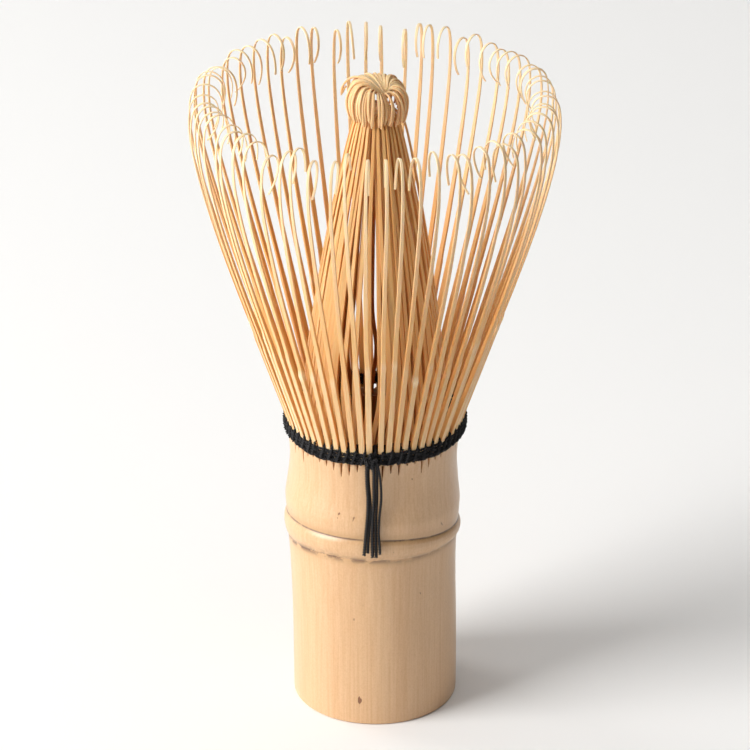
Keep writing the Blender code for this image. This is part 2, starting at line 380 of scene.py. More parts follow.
def tube_quads(tubes, stations, corners, closed):
    """Point numbers of the quads of several tubes at once, and the grid place of each of their corners.
    Points are counted tube by tube, station by station, corner by corner round the section."""
    spans = stations if closed else stations - 1
    t, i, j = np.meshgrid(np.arange(tubes), np.arange(spans), np.arange(corners), indexing="ij")
    t, i, j = t.ravel(), i.ravel(), j.ravel()
    rows = np.stack([i, i, i + 1, i + 1], 1)
    columns = np.stack([j, j + 1, j + 1, j], 1)
    numbers = (t[:, None] * stations + rows % stations) * corners + columns % corners
    return numbers, t, rows, columns


def add_tubes(name, points, material, attributes, around, along, closed=False):
    """Tubes from points (tube, station, corner, xyz): each section's corners run anticlockwise seen from
    the tube's end. Open tubes get a flat cap at both ends. around is the distance round the section
    at each corner and at the seam, along the distance down each tube, both for the surface's UV."""
    tubes, stations, corners, _ = points.shape
    quads, t, rows, columns = tube_quads(tubes, stations, corners, closed)
    reach = along if along.ndim == 2 else np.broadcast_to(along, (tubes, len(along)))
    if closed:
        reach = np.concatenate([reach, 2 * reach[:, -1:] - reach[:, -2:-1]], 1)
    u = around[columns] + 7.3 * t[:, None]
    uv = np.stack([u, reach[t[:, None], rows]], 2).reshape(-1, 2)
    faces = quads.tolist()
    if not closed:
        first = np.arange(tubes)[:, None] * stations * corners + np.arange(corners)
        last = first + (stations - 1) * corners
        faces += first[:, ::-1].tolist() + last.tolist()
        uv = np.concatenate([uv, np.zeros((2 * tubes * corners, 2))])
    return add_piece(name, points.reshape(-1, 3), faces, material, uv, attributes)


def unit(vectors):
    return vectors / np.linalg.norm(vectors, axis=-1, keepdims=True)


def smooth_line(controls, samples):
    """Curves through control points (curve, point, xyz): each stretch between two points is the cubic
    whose slope at a point is half the step from its neighbour before to its neighbour after."""
    before = np.concatenate([2 * controls[:, :1] - controls[:, 1:2], controls[:, :-1]], 1)
    after = np.concatenate([controls[:, 1:], 2 * controls[:, -1:] - controls[:, -2:-1]], 1)
    slope = (after - before) / 2
    place = np.linspace(0, controls.shape[1] - 1, samples)
    cell = np.minimum(place.astype(int), controls.shape[1] - 2)
    t = (place - cell)[None, :, None]
    start, end = controls[:, cell], controls[:, cell + 1]
    leave, arrive = slope[:, cell], slope[:, cell + 1]
    return (
        (2 * t**3 - 3 * t**2 + 1) * start
        + (t**3 - 2 * t**2 + t) * leave
        + (3 * t**2 - 2 * t**3) * end
        + (t**3 - t**2) * arrive
    )


def evenly_spaced(lines, samples):
    """The same curves with their points at equal steps of length, and the distance along each."""
    steps = np.linalg.norm(np.diff(lines, axis=1), axis=2)
    travelled = np.concatenate([np.zeros((len(lines), 1)), np.cumsum(steps, 1)], 1)
    wanted = travelled[:, -1:] * np.linspace(0, 1, samples)
    spaced = np.stack(
        [
            np.stack([np.interp(w, d, line[:, axis]) for axis in range(3)], 1)
            for w, d, line in zip(wanted, travelled, lines)
        ]
    )
    return spaced, wanted


def directions(angles):
    """Outward and sideways unit vectors at angles round the culm."""
    flat = np.zeros_like(angles)
    outward = np.stack([np.cos(angles), np.sin(angles), flat], 1)
    sideways = np.stack([-np.sin(angles), np.cos(angles), flat], 1)
    return outward, sideways


def placed(outward, sideways, r, h, z):
    """Points (line, station, xyz) that lie r outwards, h sideways and z above the foot."""
    up = np.array([0.0, 0.0, 1.0])
    return r[..., None] * outward[:, None] + h[..., None] * sideways[:, None] + z[..., None] * up


def blade_points(lines, sideways, width, front, back, bevel, twist):
    """Strips along lines (tine, station, xyz). Each section is a rectangle with cut corners: it spans
    width sideways, and reaches front towards the outer face and back behind it. twist turns it
    about the line. All sizes are (tine, station)."""
    heading = unit(np.gradient(lines, axis=1))
    across = unit(sideways[:, None] - heading * np.sum(sideways[:, None] * heading, 2, keepdims=True))
    facing = np.cross(across, heading)
    c, s = np.cos(twist)[..., None], np.sin(twist)[..., None]
    across, facing = across * c + facing * s, facing * c - across * s
    half = width / 2
    cut = np.minimum(bevel, (front + back) * 0.3)
    x = np.stack([half - cut, half, half, half - cut, cut - half, -half, -half, cut - half], 2)
    y = np.stack([front, front - cut, cut - back, -back, -back, cut - back, front - cut, front], 2)
    return lines[:, :, None] + x[..., None] * across[:, :, None] + y[..., None] * facing[:, :, None]


# One row of marks for a blade's section corners: 1 on the outer face, and 1 on the knife-cut sides.
FACE_CORNERS = np.array([1, 0.6, 0, 0, 0, 0, 0.6, 1])
SIDE_CORNERS = np.array([0, 1, 1, 0, 0, 1, 1, 0])


def add_layer(layer, finish, blades, around, bodies):
    """One piece for each splint's tines in the outer or inner layer, with its frame node hidden and its
    transform baked."""
    name = f"split_bamboo_{layer}_pared"
    material = material_once(name, split_bamboo_material, name, *map(tuple, finish), 0.35)
    points, marks, at = blades
    for i, body in enumerate(bodies):
        own = slice(i * TINES_PER_SPLINT, (i + 1) * TINES_PER_SPLINT)
        given = {key: values[own] for key, values in marks.items()}
        label = f"{layer}_splint_{i + 1:02d}_tines"
        piece = add_tubes(label, points[own], material, given, np.array(around), at[own])
        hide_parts(f"{layer}_tines_{i + 1:02d}")
        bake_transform(piece)


# ------------------------------
# The culm


def slit_lengths():
    """How far each slit between two tines runs below the culm's top, in millimetres."""
    dice = np.random.default_rng(11)
    return dice.uniform(0.5, 2.9, TINES)


def culm_profile(culm):
    """Radii and heights down the whole solid: septum, cup, rim, outside, foot, bore and septum."""
    top = CULM_TOP
    parts = ("foot", "ridge", "waist", "top", "bore", "cup")
    foot, ridge, waist, brim, bore, cup = (getattr(culm, f"{part}_radius") / MM for part in parts)
    # Heights and radii up the outside: the length below the node, the node, and the waist.
    knots = [(0.0, foot - 0.03), (4.0, foot), (20.0, foot + 0.02), (25.0, foot + 0.1)]
    knots += [(27.4, foot + 0.24), (28.3, foot + 0.33), (28.65, foot + 0.3), (28.95, foot + 0.5)]
    knots += [(29.5, ridge - 0.1), (30.3, ridge + 0.06), (31.0, ridge + 0.02), (31.45, ridge - 0.18)]
    knots += [(31.7, ridge - 0.42), (31.95, ridge - 0.36), (32.6, ridge - 0.28), (35.4, ridge - 0.1)]
    knots += [(38.2, waist + 0.36), (41.4, waist + 0.05), (43.2, waist), (45.0, waist + 0.1), (top, brim)]
    stretches = [(top, 44.4, 22), (44.0, 33.6, 20), (33.2, 27.6, 50), (27.2, 0.45, 28)]
    heights = np.concatenate([np.linspace(*stretch) for stretch in stretches])
    outside = np.stack([np.interp(heights, *np.array(knots).T), heights], 1)
    softened = outside.copy()
    softened[1:-1, 0] = (outside[:-2, 0] + 2 * outside[1:-1, 0] + outside[2:, 0]) / 4
    inside_top = [(0.0, 32.0), (3.0, 32.05), (6.0, 32.3), (7.9, 32.8), (9.2, 33.9), (cup - 0.35, 36.5)]
    inside_top += [(cup, 41.0), (cup, 44.0), (cup, top - 0.1), (cup + 0.1, top)]
    rim = [(brim - 0.1, top)]
    sole = [(foot - 0.05, 0.2), (foot - 0.25, 0.03), (foot - 0.5, 0.0)]
    sole += [(bore + 1.7, 0.0), (bore + 0.3, 0.0)]
    inside_low = [(bore + 0.06, 0.12), (bore, 0.5), (bore, 8.0), (bore, 18.0), (bore - 0.1, 25.5)]
    inside_low += [(bore - 0.7, 27.9), (bore - 2.2, 28.9), (bore - 5.0, 29.3), (0.0, 29.4)]
    return np.array(inside_top + rim + softened.tolist() + sole + inside_low)


def bell(values, centre, width):
    """1 at the centre, falling to both sides as e to the minus square of the distance in widths."""
    return np.exp(-(((values - centre) / width) ** 2))


def culm_points(culm):
    """The culm's surface (row, column, xyz) and its marks for slits, grooves and stains.

    A row is a point of the profile and a column an angle. The radius is the profile's, plus a slight
    oval and a few low waves, less a V-shaped slit below each gap between tines, which narrows to a
    point. Heights near the node are shifted by a cosine of the angle, one for each groove, because
    the node sits askew, and the whole is shifted sideways by a bell curve of height for its bend."""
    profile = culm_profile(culm)
    across = np.array([-0.67, -0.32, -0.16, -0.06, 0.0, 0.06, 0.16, 0.32])
    slit_angles = np.arange(TINES) * PITCH
    angles = (slit_angles[:, None] + across / 13.6).ravel()
    outward = np.concatenate([[False], profile[1:-1, 0] > culm.cup_radius / MM + 0.6, [False]])
    radius = np.repeat(profile[:, :1], len(angles), 1)
    level = np.repeat(profile[:, 1:], len(angles), 1)
    outer = outward[:, None] & (level > 0.02)
    lower = 0.25 + 1.75 * np.cos(angles - 4.712)
    lower = lower + 0.14 * np.sin(3 * angles + 2.0) + 0.06 * np.sin(8 * angles)
    upper = 0.45 + 2.15 * np.cos(angles - 4.36) + 0.1 * np.sin(4 * angles + 1.0)
    lower_share = np.interp(level, [22.0, 28.65, 29.4, 31.2], [0.0, 1.0, 0.8, 0.0])
    upper_share = np.interp(level, [28.8, 31.2, 32.2, 40.0], [0.0, 1.0, 1.0, 0.0])
    height = level + outer * (lower_share * lower + upper_share * upper)
    radius = radius + outer * (0.05 * np.cos(2 * angles + 0.6) + 0.03 * np.sin(5 * angles + level / 9))
    line = outer * bell(level, 31.72, 0.13)
    patch = outer * bell(level, 28.6, 0.42) * (0.55 - 0.45 * np.cos(angles - 0.5))
    stain = outer * (bell(level, 32.2, 0.9) + bell(level, 28.3, 0.7))
    speck = outer * bell(level, 31.6, 0.34) * bell(angles, 5.0, 0.5)
    lengths = np.repeat(slit_lengths(), len(across))
    below = (CULM_TOP - height) / lengths
    half_width = 0.24 * np.clip(1 - below, 0, 1) ** 0.8
    inside = np.clip(1 - np.abs(np.tile(across, TINES)) / np.maximum(half_width, 1e-6), 0, 1)
    slit = outer * inside * (half_width > 0.004)
    radius = radius - culm.slit_depth / MM * slit
    radius = radius - outer * np.clip(1 - below / 1.6, 0, 1) * 0.05 * np.cos(TINES * angles)
    bow = culm.bend / MM * bell(height, 31.0, 15.0) * (height > 0)
    points = np.stack([radius * np.cos(angles) - bow, radius * np.sin(angles), height], 2)
    cut = np.clip(slit * 1.6, 0, 1) + np.where(outer, 0.0, 0.75)
    return points, {"cut": np.clip(cut, 0, 1), "line": line, "patch": patch, "stain": stain, "speck": speck}


def revolved_faces(rows, columns):
    """Faces of a grid whose first and last row are single points on the axis: fans at both poles and
    quads between, with the points counted as first pole, rows 1 to rows - 2, last pole."""
    i, j = np.meshgrid(np.arange(rows - 3), np.arange(columns), indexing="ij")
    i, j = i.ravel(), j.ravel()
    here, there = 1 + i * columns, 1 + (i + 1) * columns
    following = (j + 1) % columns
    quads = np.stack([here + j, there + j, there + following, here + following], 1)
    ring = np.arange(columns)
    onward = (ring + 1) % columns
    last_row = 1 + (rows - 3) * columns
    last = last_row + columns
    start = np.stack([np.zeros(columns, int), 1 + ring, 1 + onward], 1)
    end = np.stack([last_row + ring, np.full(columns, last), last_row + onward], 1)
    return start.tolist() + quads.tolist() + end.tolist()


class WHISK_OT_culm(bpy.types.Operator):
    """Build the culm: foot, node ridge, waist and the slits that split its top"""

    bl_idname = "whisk.culm"
    bl_label = "Culm"

    def execute(self, context):
        culm = context.scene.whisk_culm
        points, marks = culm_points(culm)
        rows, columns, _ = points.shape
        flat = np.concatenate([points[0, :1], points[1:-1].reshape(-1, 3), points[-1, :1]])
        for key, m in marks.items():
            marks[key] = np.concatenate([m[0, :1], m[1:-1].ravel(), m[-1, :1]])
        material = material_once(BAMBOO_SKIN, bamboo_skin_material, culm)
        faces = revolved_faces(rows, columns)
        piece = add_piece("culm", flat, faces, material, None, marks)
        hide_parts("bamboo_handle")
        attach(piece, "culm")
        return {"FINISHED"}


# ------------------------------
# Outer tines


def outer_lines(angles, wander):
    """The middle lines of the outer tines (tine, station, xyz), and how far along each point lies.

    In its radial plane a line's heading is read off a few (length, heading) pairs, smoothed, and
    its points are the running sum of its direction: up through the thread, out at a lean, slowly
    upright, then over inwards and down in a curl. It also drifts sideways towards its tip."""
    dice = np.random.default_rng(5)
    count = len(angles)
    reach = np.array([0.0, 1.6, 3.4, 26.0, 36.0, 45.0, 50.5, 56.2, 58.3, 59.8, 61.2, 64.4, 68.8])
    heading = np.array([2.0, 4.5, 19.4, 18.8, 17.2, 14.4, 11.0, -2.0, -11.0, -48.0, -92.0, -172.0, -212.0])
    stations = 96
    share = np.concatenate([np.linspace(0, 0.79, 40, endpoint=False), np.linspace(0.79, 1, stations - 40)])
    fine = np.linspace(0, reach[-1], 700)
    turning = np.interp(fine, reach, heading)
    kernel = np.hanning(41)
    padded = np.pad(turning, 20, mode="edge")
    turning = np.convolve(padded, kernel / kernel.sum(), mode="valid")
    lean = dice.normal(0, 0.35, (count, 1))
    late = dice.normal(0, 0.5, (count, 1))
    tight = 1 + dice.normal(0, 0.06, (count, 1))
    shifted = np.interp(fine[None] + late, fine, turning)
    curled = np.where(shifted < 12, 12 - (12 - shifted) * tight, shifted)
    curled = curled + lean * np.clip(fine / 3.6, 0, 1)
    step = fine[1] - fine[0]
    radius = 13.65 + np.cumsum(np.sin(np.radians(curled)), 1) * step
    height = CULM_TOP + 0.05 + np.cumsum(np.cos(np.radians(curled)), 1) * step
    ends = fine[-1] + dice.uniform(-1.1, 0.0, (count, 1))
    at = share * ends
    radius = np.stack([np.interp(a, fine, r) for a, r in zip(at, radius)])
    height = np.stack([np.interp(a, fine, z) for a, z in zip(at, height)])
    outward, sideways = directions(angles)
    drift = dice.normal(0, wander, (count, 1)) * np.clip((at - 3) / 60, 0, 1) ** 1.3
    swing = dice.normal(0, 0.35, (count, 1)) * np.clip((at - 60) / 10, 0, 1) ** 2
    return placed(outward, sideways, radius, drift + swing, height), at, sideways


def outer_angles():
    """Angles of the outer tines, with the two by the knot pushed a little apart."""
    dice = np.random.default_rng(3)
    even = (np.arange(TINES) + 0.5) * PITCH
    from_knot = (even - 1.5 * math.pi + math.pi) % (2 * math.pi) - math.pi
    push = 0.018 * np.sign(from_knot) * np.exp(-((from_knot / (1.2 * PITCH)) ** 2))
    return even + push + dice.normal(0, 0.004, TINES)


def outer_blades(tines):
    """Points, marks and UV distances of all outer tines.

    The skin is left on up to a knife mark 17 to 22 mm above the culm. Past the mark the outer face
    steps back by 0.13 mm, a burr stands on the step, and the tine thins towards its tip."""
    dice = np.random.default_rng(8)
    lines, at, sideways = outer_lines(outer_angles(), tines.wander / MM)
    share = at / at[:, -1:]
    wide = tines.root_width / MM * (1 + dice.normal(0, 0.04, (TINES, 1)))
    width = wide + (tines.tip_width / MM - wide) * share**1.5
    width = width * (1 + 0.03 * np.sin(at * 0.9 + dice.uniform(0, 6, (TINES, 1))))
    root, tip = tines.root_thickness / MM, tines.tip_thickness / MM
    thickness = tip + (root - tip) * np.clip(1 - share / 0.88, 0, 1) ** 0.85
    mark = dice.uniform(17.0, 22.5, (TINES, 1))
    past = np.clip((at - mark) / 0.5, 0, 1)
    chip = bell(at, mark - 0.1, 0.35) * dice.uniform(0.0, 1.0, (TINES, 1))
    width = width * (1 - 0.08 * past)
    front = thickness / 2 - 0.13 * past * thickness / root + 0.17 * chip
    beyond = np.clip(at - mark, 0, None)
    kink = dice.normal(0, 0.03, (TINES, 1)) * beyond * np.exp(-beyond / 9)
    lines = lines + kink[..., None] * sideways[:, None]
    back = thickness / 2
    twist = dice.normal(0, 0.16, (TINES, 1)) * share**2
    points = blade_points(lines, sideways, width, front, back, 0.07, twist)
    ones = np.ones((TINES, at.shape[1], 1))
    skin = 1 - 0.55 * past + 0.5 * bell(at, mark, 0.5)
    tipped = np.clip((share - 0.4) / 0.5, 0, 1) * 0.75
    marks = {
        "face": np.clip(skin, 0, 1)[..., None] * FACE_CORNERS,
        "side": ones * SIDE_CORNERS * (1 - 0.6 * tipped[..., None]),
        "tone": ones * dice.uniform(0, 1, (TINES, 1, 1)) * np.ones(8),
        "tip": np.maximum(tipped, 0.9 * chip)[..., None] * np.ones(8),
    }
    return points, marks, at


class WHISK_OT_outer_tines(bpy.types.Operator):
    """Build the springy outer tines with their curled tips"""

    bl_idname = "whisk.outer_tines"
    bl_label = "Outer tines"

    def execute(self, context):
        tines = context.scene.whisk_outer
        finish = (tines.skin, tines.flesh, tines.side)
        around = [0.0, 0.1, 0.8, 0.9, 1.7, 1.8, 2.5, 2.6, 3.4]
        bodies = [f"outer_splint_{i + 1:02d}" for i in range(SPLINTS)]
        add_layer("outer", finish, outer_blades(tines), around, bodies)
        return {"FINISHED"}


# ------------------------------
# Inner tines


# Where the inner tines cross in the crown, the radius of their roots, and the x of the place where
# those in front stand apart, in millimetres.
CROSSING = np.array([1.5, -2.2])
INNER_ROOT = 11.0
OPENING = -2.1


def inner_lines(angles, inner):
    """The middle lines of the inner tines (tine, station, xyz) and how far along each point lies.

    Each line starts at the culm, leans in to the neck, rises to the crossing in front of the axis,
    which lies in a hollow, climbs out on the far side and rolls down over the crown. Lines lie at
    different depths, so that they fill the crown in layers. Those round the opening spread out
    sideways by their distance from it times a bell curve, most just above the thread."""
    dice = np.random.default_rng(21)
    count = len(angles)
    depth = dice.uniform(0, 1, count)
    under = (np.arange(count) % 2).astype(float)
    loose = np.clip(-np.cos(angles + 0.5), 0, 1) ** 2
    neck = inner.neck_radius / MM - 0.55 * under + dice.normal(0, 0.1, count)
    crown = inner.crown_radius / MM - 0.5 * depth + loose * dice.uniform(-0.5, 0.35, count)
    top = CROWN_TOP - 0.5 - 0.35 * depth + dice.normal(0, 0.06, count)
    hang = dice.uniform(-0.5, 0.6, count) - 0.5 * loose
    swirl = 0.35 + dice.normal(0, 0.08, count)
    fall = dice.normal(0, 0.15, count) * (1 + 2.2 * loose)
    start = CULM_TOP + 0.1
    zero = np.zeros(count)
    one = np.ones(count)
    stray = np.argmin(np.abs(angles - 0.05))
    neck[stray] += 0.75
    wild = np.argmin(np.abs(angles - 5.93))
    crown[wild] += 1.3
    hang[wild] += 3.4
    # Distance from the axis along the root's direction, height, and distance sideways.
    rows = [
        (11.62 * one, start * one, zero),
        (11.4 * one, start + 3 * one, zero),
        (10.0 + dice.normal(0, 0.07, count), 65.3 * one, dice.normal(0, 0.1, count)),
        (0.52 * (10.0 + neck), 82.7 * one, dice.normal(0, 0.16, count)),
        (neck, 98.7 * one, dice.normal(0, 0.12, count)),
        (0.66 * neck, 102.3 * one, 0.1 * swirl),
        (0.22 * neck, 104.7 * one, 0.3 * swirl),
        (-0.3 * one, top - 0.6, 0.55 * swirl),
        (-0.42 * crown, top - 0.2, 0.8 * swirl + 0.3 * fall),
        (-0.76 * crown, top - 0.7, swirl + 0.6 * fall),
        (-0.97 * crown, top - 2.3, swirl + 0.8 * fall),
        (-1.0 * crown, top - 3.8, swirl + fall),
        (-0.95 * crown, top - 5.0 + 0.6 * hang, swirl + 1.1 * fall),
        (-0.88 * crown, top - 5.9 + hang, swirl + 1.2 * fall),
    ]
    q, z, h = (np.stack(values, 1) for values in zip(*rows))
    flat = np.stack([q, h, z], 2)
    lines, at = evenly_spaced(smooth_line(flat, 280), 116)
    outward, sideways = directions(angles)
    reach, up = lines[..., 0], lines[..., 2]
    lines = placed(outward, sideways, reach, lines[..., 1], up)
    aside = INNER_ROOT * outward[:, 0] - OPENING
    push = (aside / 2.4 * bell(aside, 0.0, 3.2))[:, None]
    before = 4.0 * (1 - bell(np.maximum(up, 49.0), 49.0, 7.0)) * np.clip((98.0 - up) / 49.0, 0, 1)
    behind = 1.5 * bell(up, 56.0, 5.0)
    lines[..., 0] += push * np.where(outward[:, 1:2] < 0, before, behind)
    shift = np.clip((up - 60) / 40, 0, 1) ** 1.5
    lines = lines + shift[..., None] * np.array([0.2, -0.1, 0.0])
    risen = np.clip((up - 101) / 3, 0, 1)
    dimple = bell(reach, 0.0, 1.6) * risen
    lines = lines + dimple[..., None] * np.array([1.3, -2.1, -0.2])
    lines[..., 2] -= 1.3 * risen * bell(np.linalg.norm(lines[..., :2] - CROSSING, axis=2), 0.0, 2.2)
    return lines, at, sideways


def inner_blades(inner):
    """Points, marks and UV distances of all inner tines. They narrow where they cross in the crown."""
    dice = np.random.default_rng(34)
    angles = (np.arange(TINES) + 0.5) * PITCH + dice.normal(0, 0.005, TINES)
    lines, at, sideways = inner_lines(angles, inner)
    share = at / at[:, -1:]
    wide = inner.root_width / MM * (1 + dice.normal(0, 0.05, (TINES, 1)))
    narrow = inner.tip_width / MM
    thin = bell(INNER_ROOT * np.cos(angles), OPENING, 3.2) * (np.sin(angles) > 0)
    wide = wide * (1 - 0.4 * thin[:, None] * np.exp(-((at / 14) ** 2)))
    width = wide * np.interp(share, [0, 0.28, 0.53, 0.75, 0.85], [1, 0.9, 0.7, 0.55, 0.55])
    width = width + (narrow - width) * np.clip((share - 0.8) / 0.08, 0, 1)
    off_axis = np.linalg.norm(lines[..., :2] - CROSSING, axis=2)
    pinch = np.clip(off_axis / 2.4, 0.35, 1)
    crowned = lines[..., 2] > 100.5
    width = np.where(crowned, width * pinch, width)
    width = width * (1 - 0.45 * np.clip((share - 0.985) / 0.015, 0, 1))
    thickness = 0.6 - 0.28 * np.clip(share / 0.75, 0, 1)
    bevel = 0.06 + 0.08 * np.clip((share - 0.78) / 0.08, 0, 1)
    twist = dice.normal(0, 0.1, (TINES, 1)) * np.sin(np.pi * share)
    points = blade_points(lines, sideways, width, thickness / 2, thickness / 2, bevel, twist)
    ones = np.ones((TINES, at.shape[1], 1))
    tipped = np.clip((share - 0.78) / 0.08, 0, 1) * 0.3
    marks = {
        "face": ones * FACE_CORNERS,
        "side": ones * SIDE_CORNERS * (1 - 0.7 * tipped[..., None]),
        "tone": ones * dice.uniform(0, 1, (TINES, 1, 1)) * np.ones(8),
        "tip": tipped[..., None] * np.ones(8),
    }
    return points, marks, at


class WHISK_OT_inner_tines(bpy.types.Operator):
    """Build the inner tines and the crown that their tips roll up in"""

    bl_idname = "whisk.inner_tines"
    bl_label = "Inner tines"

    def execute(self, context):
        inner = context.scene.whisk_inner
        finish = (inner.face, inner.side, inner.side)
        around = [0.0, 0.1, 0.6, 0.7, 1.3, 1.4, 1.9, 2.0, 2.6]
        bodies = ["inner_bundle"] * SPLINTS
        add_layer("inner", finish, inner_blades(inner), around, bodies)
        return {"FINISHED"}


# ------------------------------
# The thread


# How far a ply's middle lies from the thread's, in ply radii, for two plies and for three.
PLY_SPREAD = {2: 0.86, 3: 1.1}
PLY_CORNERS = 6


def yarn_points(lines, facing, thread, closed, thickness, plies):
    """Twisted thread along lines (line, station, xyz): each ply's middle goes round the line once in
    each turn, and its section is a circle. facing is a direction that is never along the line."""
    heading = unit(np.gradient(lines, axis=1))
    if closed:
        heading = unit(np.roll(lines, -1, 1) - np.roll(lines, 1, 1))
    side = unit(np.cross(heading, facing))
    out = np.cross(side, heading)
    steps = np.linalg.norm(np.diff(lines, axis=1, append=lines[:, :1] if closed else lines[:, -1:]), axis=2)
    at = np.cumsum(steps, 1) - steps
    turns = steps.sum(1) / (thread.turn / MM)
    if closed:
        turns = np.round(turns)
    phase = 2 * np.pi * turns[:, None] * at / steps.sum(1)[:, None]
    radius = thickness * thread.ply_radius / MM
    off = radius * PLY_SPREAD[plies]
    made = []
    for ply in range(plies):
        angle = (phase + 2 * np.pi * ply / plies)[..., None]
        centre = lines + off * (np.cos(angle) * out + np.sin(angle) * side)
        corner = np.linspace(0, -2 * np.pi, PLY_CORNERS, endpoint=False)
        ring = np.cos(corner)[:, None] * out[:, :, None] + np.sin(corner)[:, None] * side[:, :, None]
        made.append(centre[:, :, None] + radius * ring)
    return np.concatenate(made), np.concatenate([at] * plies)


def add_yarn(name, lines, facing, thread, closed=False, thickness=1.0, plies=2):
    material = material_once(COTTON, black_cotton_material, thread)
    points, at = yarn_points(lines, facing, thread, closed, thickness, plies)
    around = np.linspace(0, 1.25, points.shape[2] + 1)
    return add_tubes(name, points, material, {}, around, at, closed)


def round_lines(radius, heights, swell, phase, stations=1080):
    """Closed rounds of thread (round, station, xyz): circles whose radius swells over each tine, and
    whose height rises and falls as they are drawn down between tines."""
    angle = np.linspace(0, 2 * np.pi, stations, endpoint=False)
    made = []
    for i, height in enumerate(heights):
        wave = TINES * angle + phase + i * 1.9
        r = radius + swell * np.cos(wave) + 0.05 * np.sin(5 * angle + i)
        z = height + 0.1 * np.sin(wave * 0.5 + i)
        z = z + 0.1 * np.sin(4 * angle + 1.3) + 0.05 * np.sin(9 * angle)
        made.append(np.stack([r * np.cos(angle), r * np.sin(angle), z], 1))
    facing = np.stack([np.cos(angle), np.sin(angle), np.zeros(stations)], 1)
    return np.stack(made), facing


def stitch_lines():
    """The short stitches that pass in between the outer tines: each climbs the outside of the
    rounds, goes through the gap, and comes down behind the tines (stitch, station, xyz)."""
    dice = np.random.default_rng(17)
    angles = np.arange(TINES) * PITCH + dice.normal(0, 0.01, TINES)
    outward, sideways = directions(angles)
    high = UPPER_ROUND_HIGH[2]
    rise = dice.uniform(-0.2, 0.45, TINES)
    rows = [
        (14.1, -2.55, -0.75, 0.0),
        (14.42, -2.3, -0.6, 0.0),
        (14.46, -1.7, -0.4, 0.0),
        (14.48, -1.1, -0.2, 0.0),
        (14.42, -0.6, -0.05, 0.5),
        (14.1, -0.1, 0.0, 1.0),
        (13.6, 0.05, 0.0, 1.0),
        (12.9, -0.1, 0.0, 1.0),
        (12.35, -0.6, 0.1, 0.3),
        (12.2, -1.4, 0.4, 0.0),
    ]
    r, z, side, lift = np.array(rows).T
    controls = placed(outward, sideways, r[None], side[None], high + z + lift * rise[:, None])
    lines, _ = evenly_spaced(smooth_line(controls, 80), 40)
    return lines, sideways


class WHISK_OT_binding(bpy.types.Operator):
    """Build the rounds of black thread, its stitches between the tines, and the knot"""

    bl_idname = "whisk.binding"
    bl_label = "Binding thread"

    def execute(self, context):
        thread = context.scene.whisk_thread
        low = (LOWER_ROUND_LOW[2] + LOWER_ROUND_HIGH[2]) / 2
        high = (UPPER_ROUND_LOW[2] + UPPER_ROUND_HIGH[2]) / 2
        inside = (INNER_ROUND_LOW[2] + INNER_ROUND_HIGH[2]) / 2
        lower, facing = round_lines(14.08, [low - 0.5, low - 0.1, low + 0.3, low + 0.7], 0.08, 0.0)
        filling = [low - 0.3, low + 0.1, low + 0.5, high - 0.75, high - 0.4]
        under, facing_under = round_lines(13.85, filling, 0.03, 0.5, 720)
        upper, _ = round_lines(14.2, [high - 0.65, high - 0.2], 0.08, 1.0)
        inner, _ = round_lines(12.5, [inside - 1.1, inside - 0.6, inside - 0.1, inside + 0.35], 0.08, 2.0)
        stitches, sideways = stitch_lines()
        ring = (thread, True, 0.95, 3)
        askew = np.array([0.31, 0.83, 0.46])
        pieces = [
            ("binding_lower_round", "thread_lower_round", lower, facing, *ring),
            ("binding_upper_round", "thread_upper_round", upper, facing, *ring),
            ("binding_inner_round", "thread_inner_round", inner, facing, *ring),
            ("binding_stitches", None, stitches, sideways[:, None], thread),
            ("binding_under_rounds", None, under, facing_under, *ring),
            ("binding_knot", "thread_knot", knot_lines(), askew, thread),
        ]
        for name, node, *yarn in pieces:
            piece = add_yarn(name, *yarn)
            if node:
                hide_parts(node)
            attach(piece, "culm")
        return {"FINISHED"}


def knot_lines():
    """Three crossed loops of thread drawn into a lump: each point's x and z go round once while its
    depth swings three times, so that the strand goes over and under itself (line, station, xyz)."""
    centre = (KNOT_LOW + KNOT_HIGH) / 2
    t = np.linspace(0, 2 * np.pi, 220)
    x = 0.5 * (np.sin(t) + 0.95 * np.sin(2 * t))
    z = 0.46 * (np.cos(t) - np.cos(2 * t))
    y = 0.26 * np.sin(3 * t)
    turns = [(0.0, 0.35, -0.1), (1.1, 0.6, 0.2), (2.2, 0.5, -0.35)]
    loops = []
    for turn, back, lift in turns:
        c, s = math.cos(turn), math.sin(turn)
        loops.append(np.stack([x * c - z * s, y + back, x * s + z * c + lift], 1) + centre)
    return np.stack(loops)


def tail_controls():
    """Points of the five loose ends (tail, point, xyz), from the knot down the front of the culm. The
    two left ends leave the knot as one, and the right one bows out before it comes back in."""
    lowest, highest = frame_box("thread_tail_1")
    high = highest[2]
    drop = high - lowest[2]
    fractions = np.array([-0.09, 0.0, 0.16, 0.36, 0.55, 0.75, 0.92, 1.0])
    across = np.array(
        [
            [-1.15, -1.34, -1.3, -1.15, -1.2, -1.45, -1.65, -1.75],
            [-0.85, -1.1, -1.08, -0.85, -0.75, -1.0, -1.15, -1.2],
            [-0.3, -0.24, -0.2, -0.2, -0.4, -0.48, -0.42, -0.42],
            [0.0, 0.22, 0.26, 0.24, 0.1, 0.06, 0.14, 0.16],
            [0.3, 0.55, 0.86, 0.95, 0.7, 0.55, 0.72, 0.78],
        ]
    )
    depth = np.array([-15.35, -15.2, -14.85, -14.6, -14.55, -14.62, -14.72, -14.75])
    lengths = np.array([0.965, 0.94, 0.985, 0.99, 0.955])
    z = high - drop * fractions[None] * lengths[:, None]
    y = np.broadcast_to(depth, across.shape) + np.array([0.0, 0.12, -0.08, 0.06, 0.0])[:, None]
    return np.stack([across, y, z], 2)


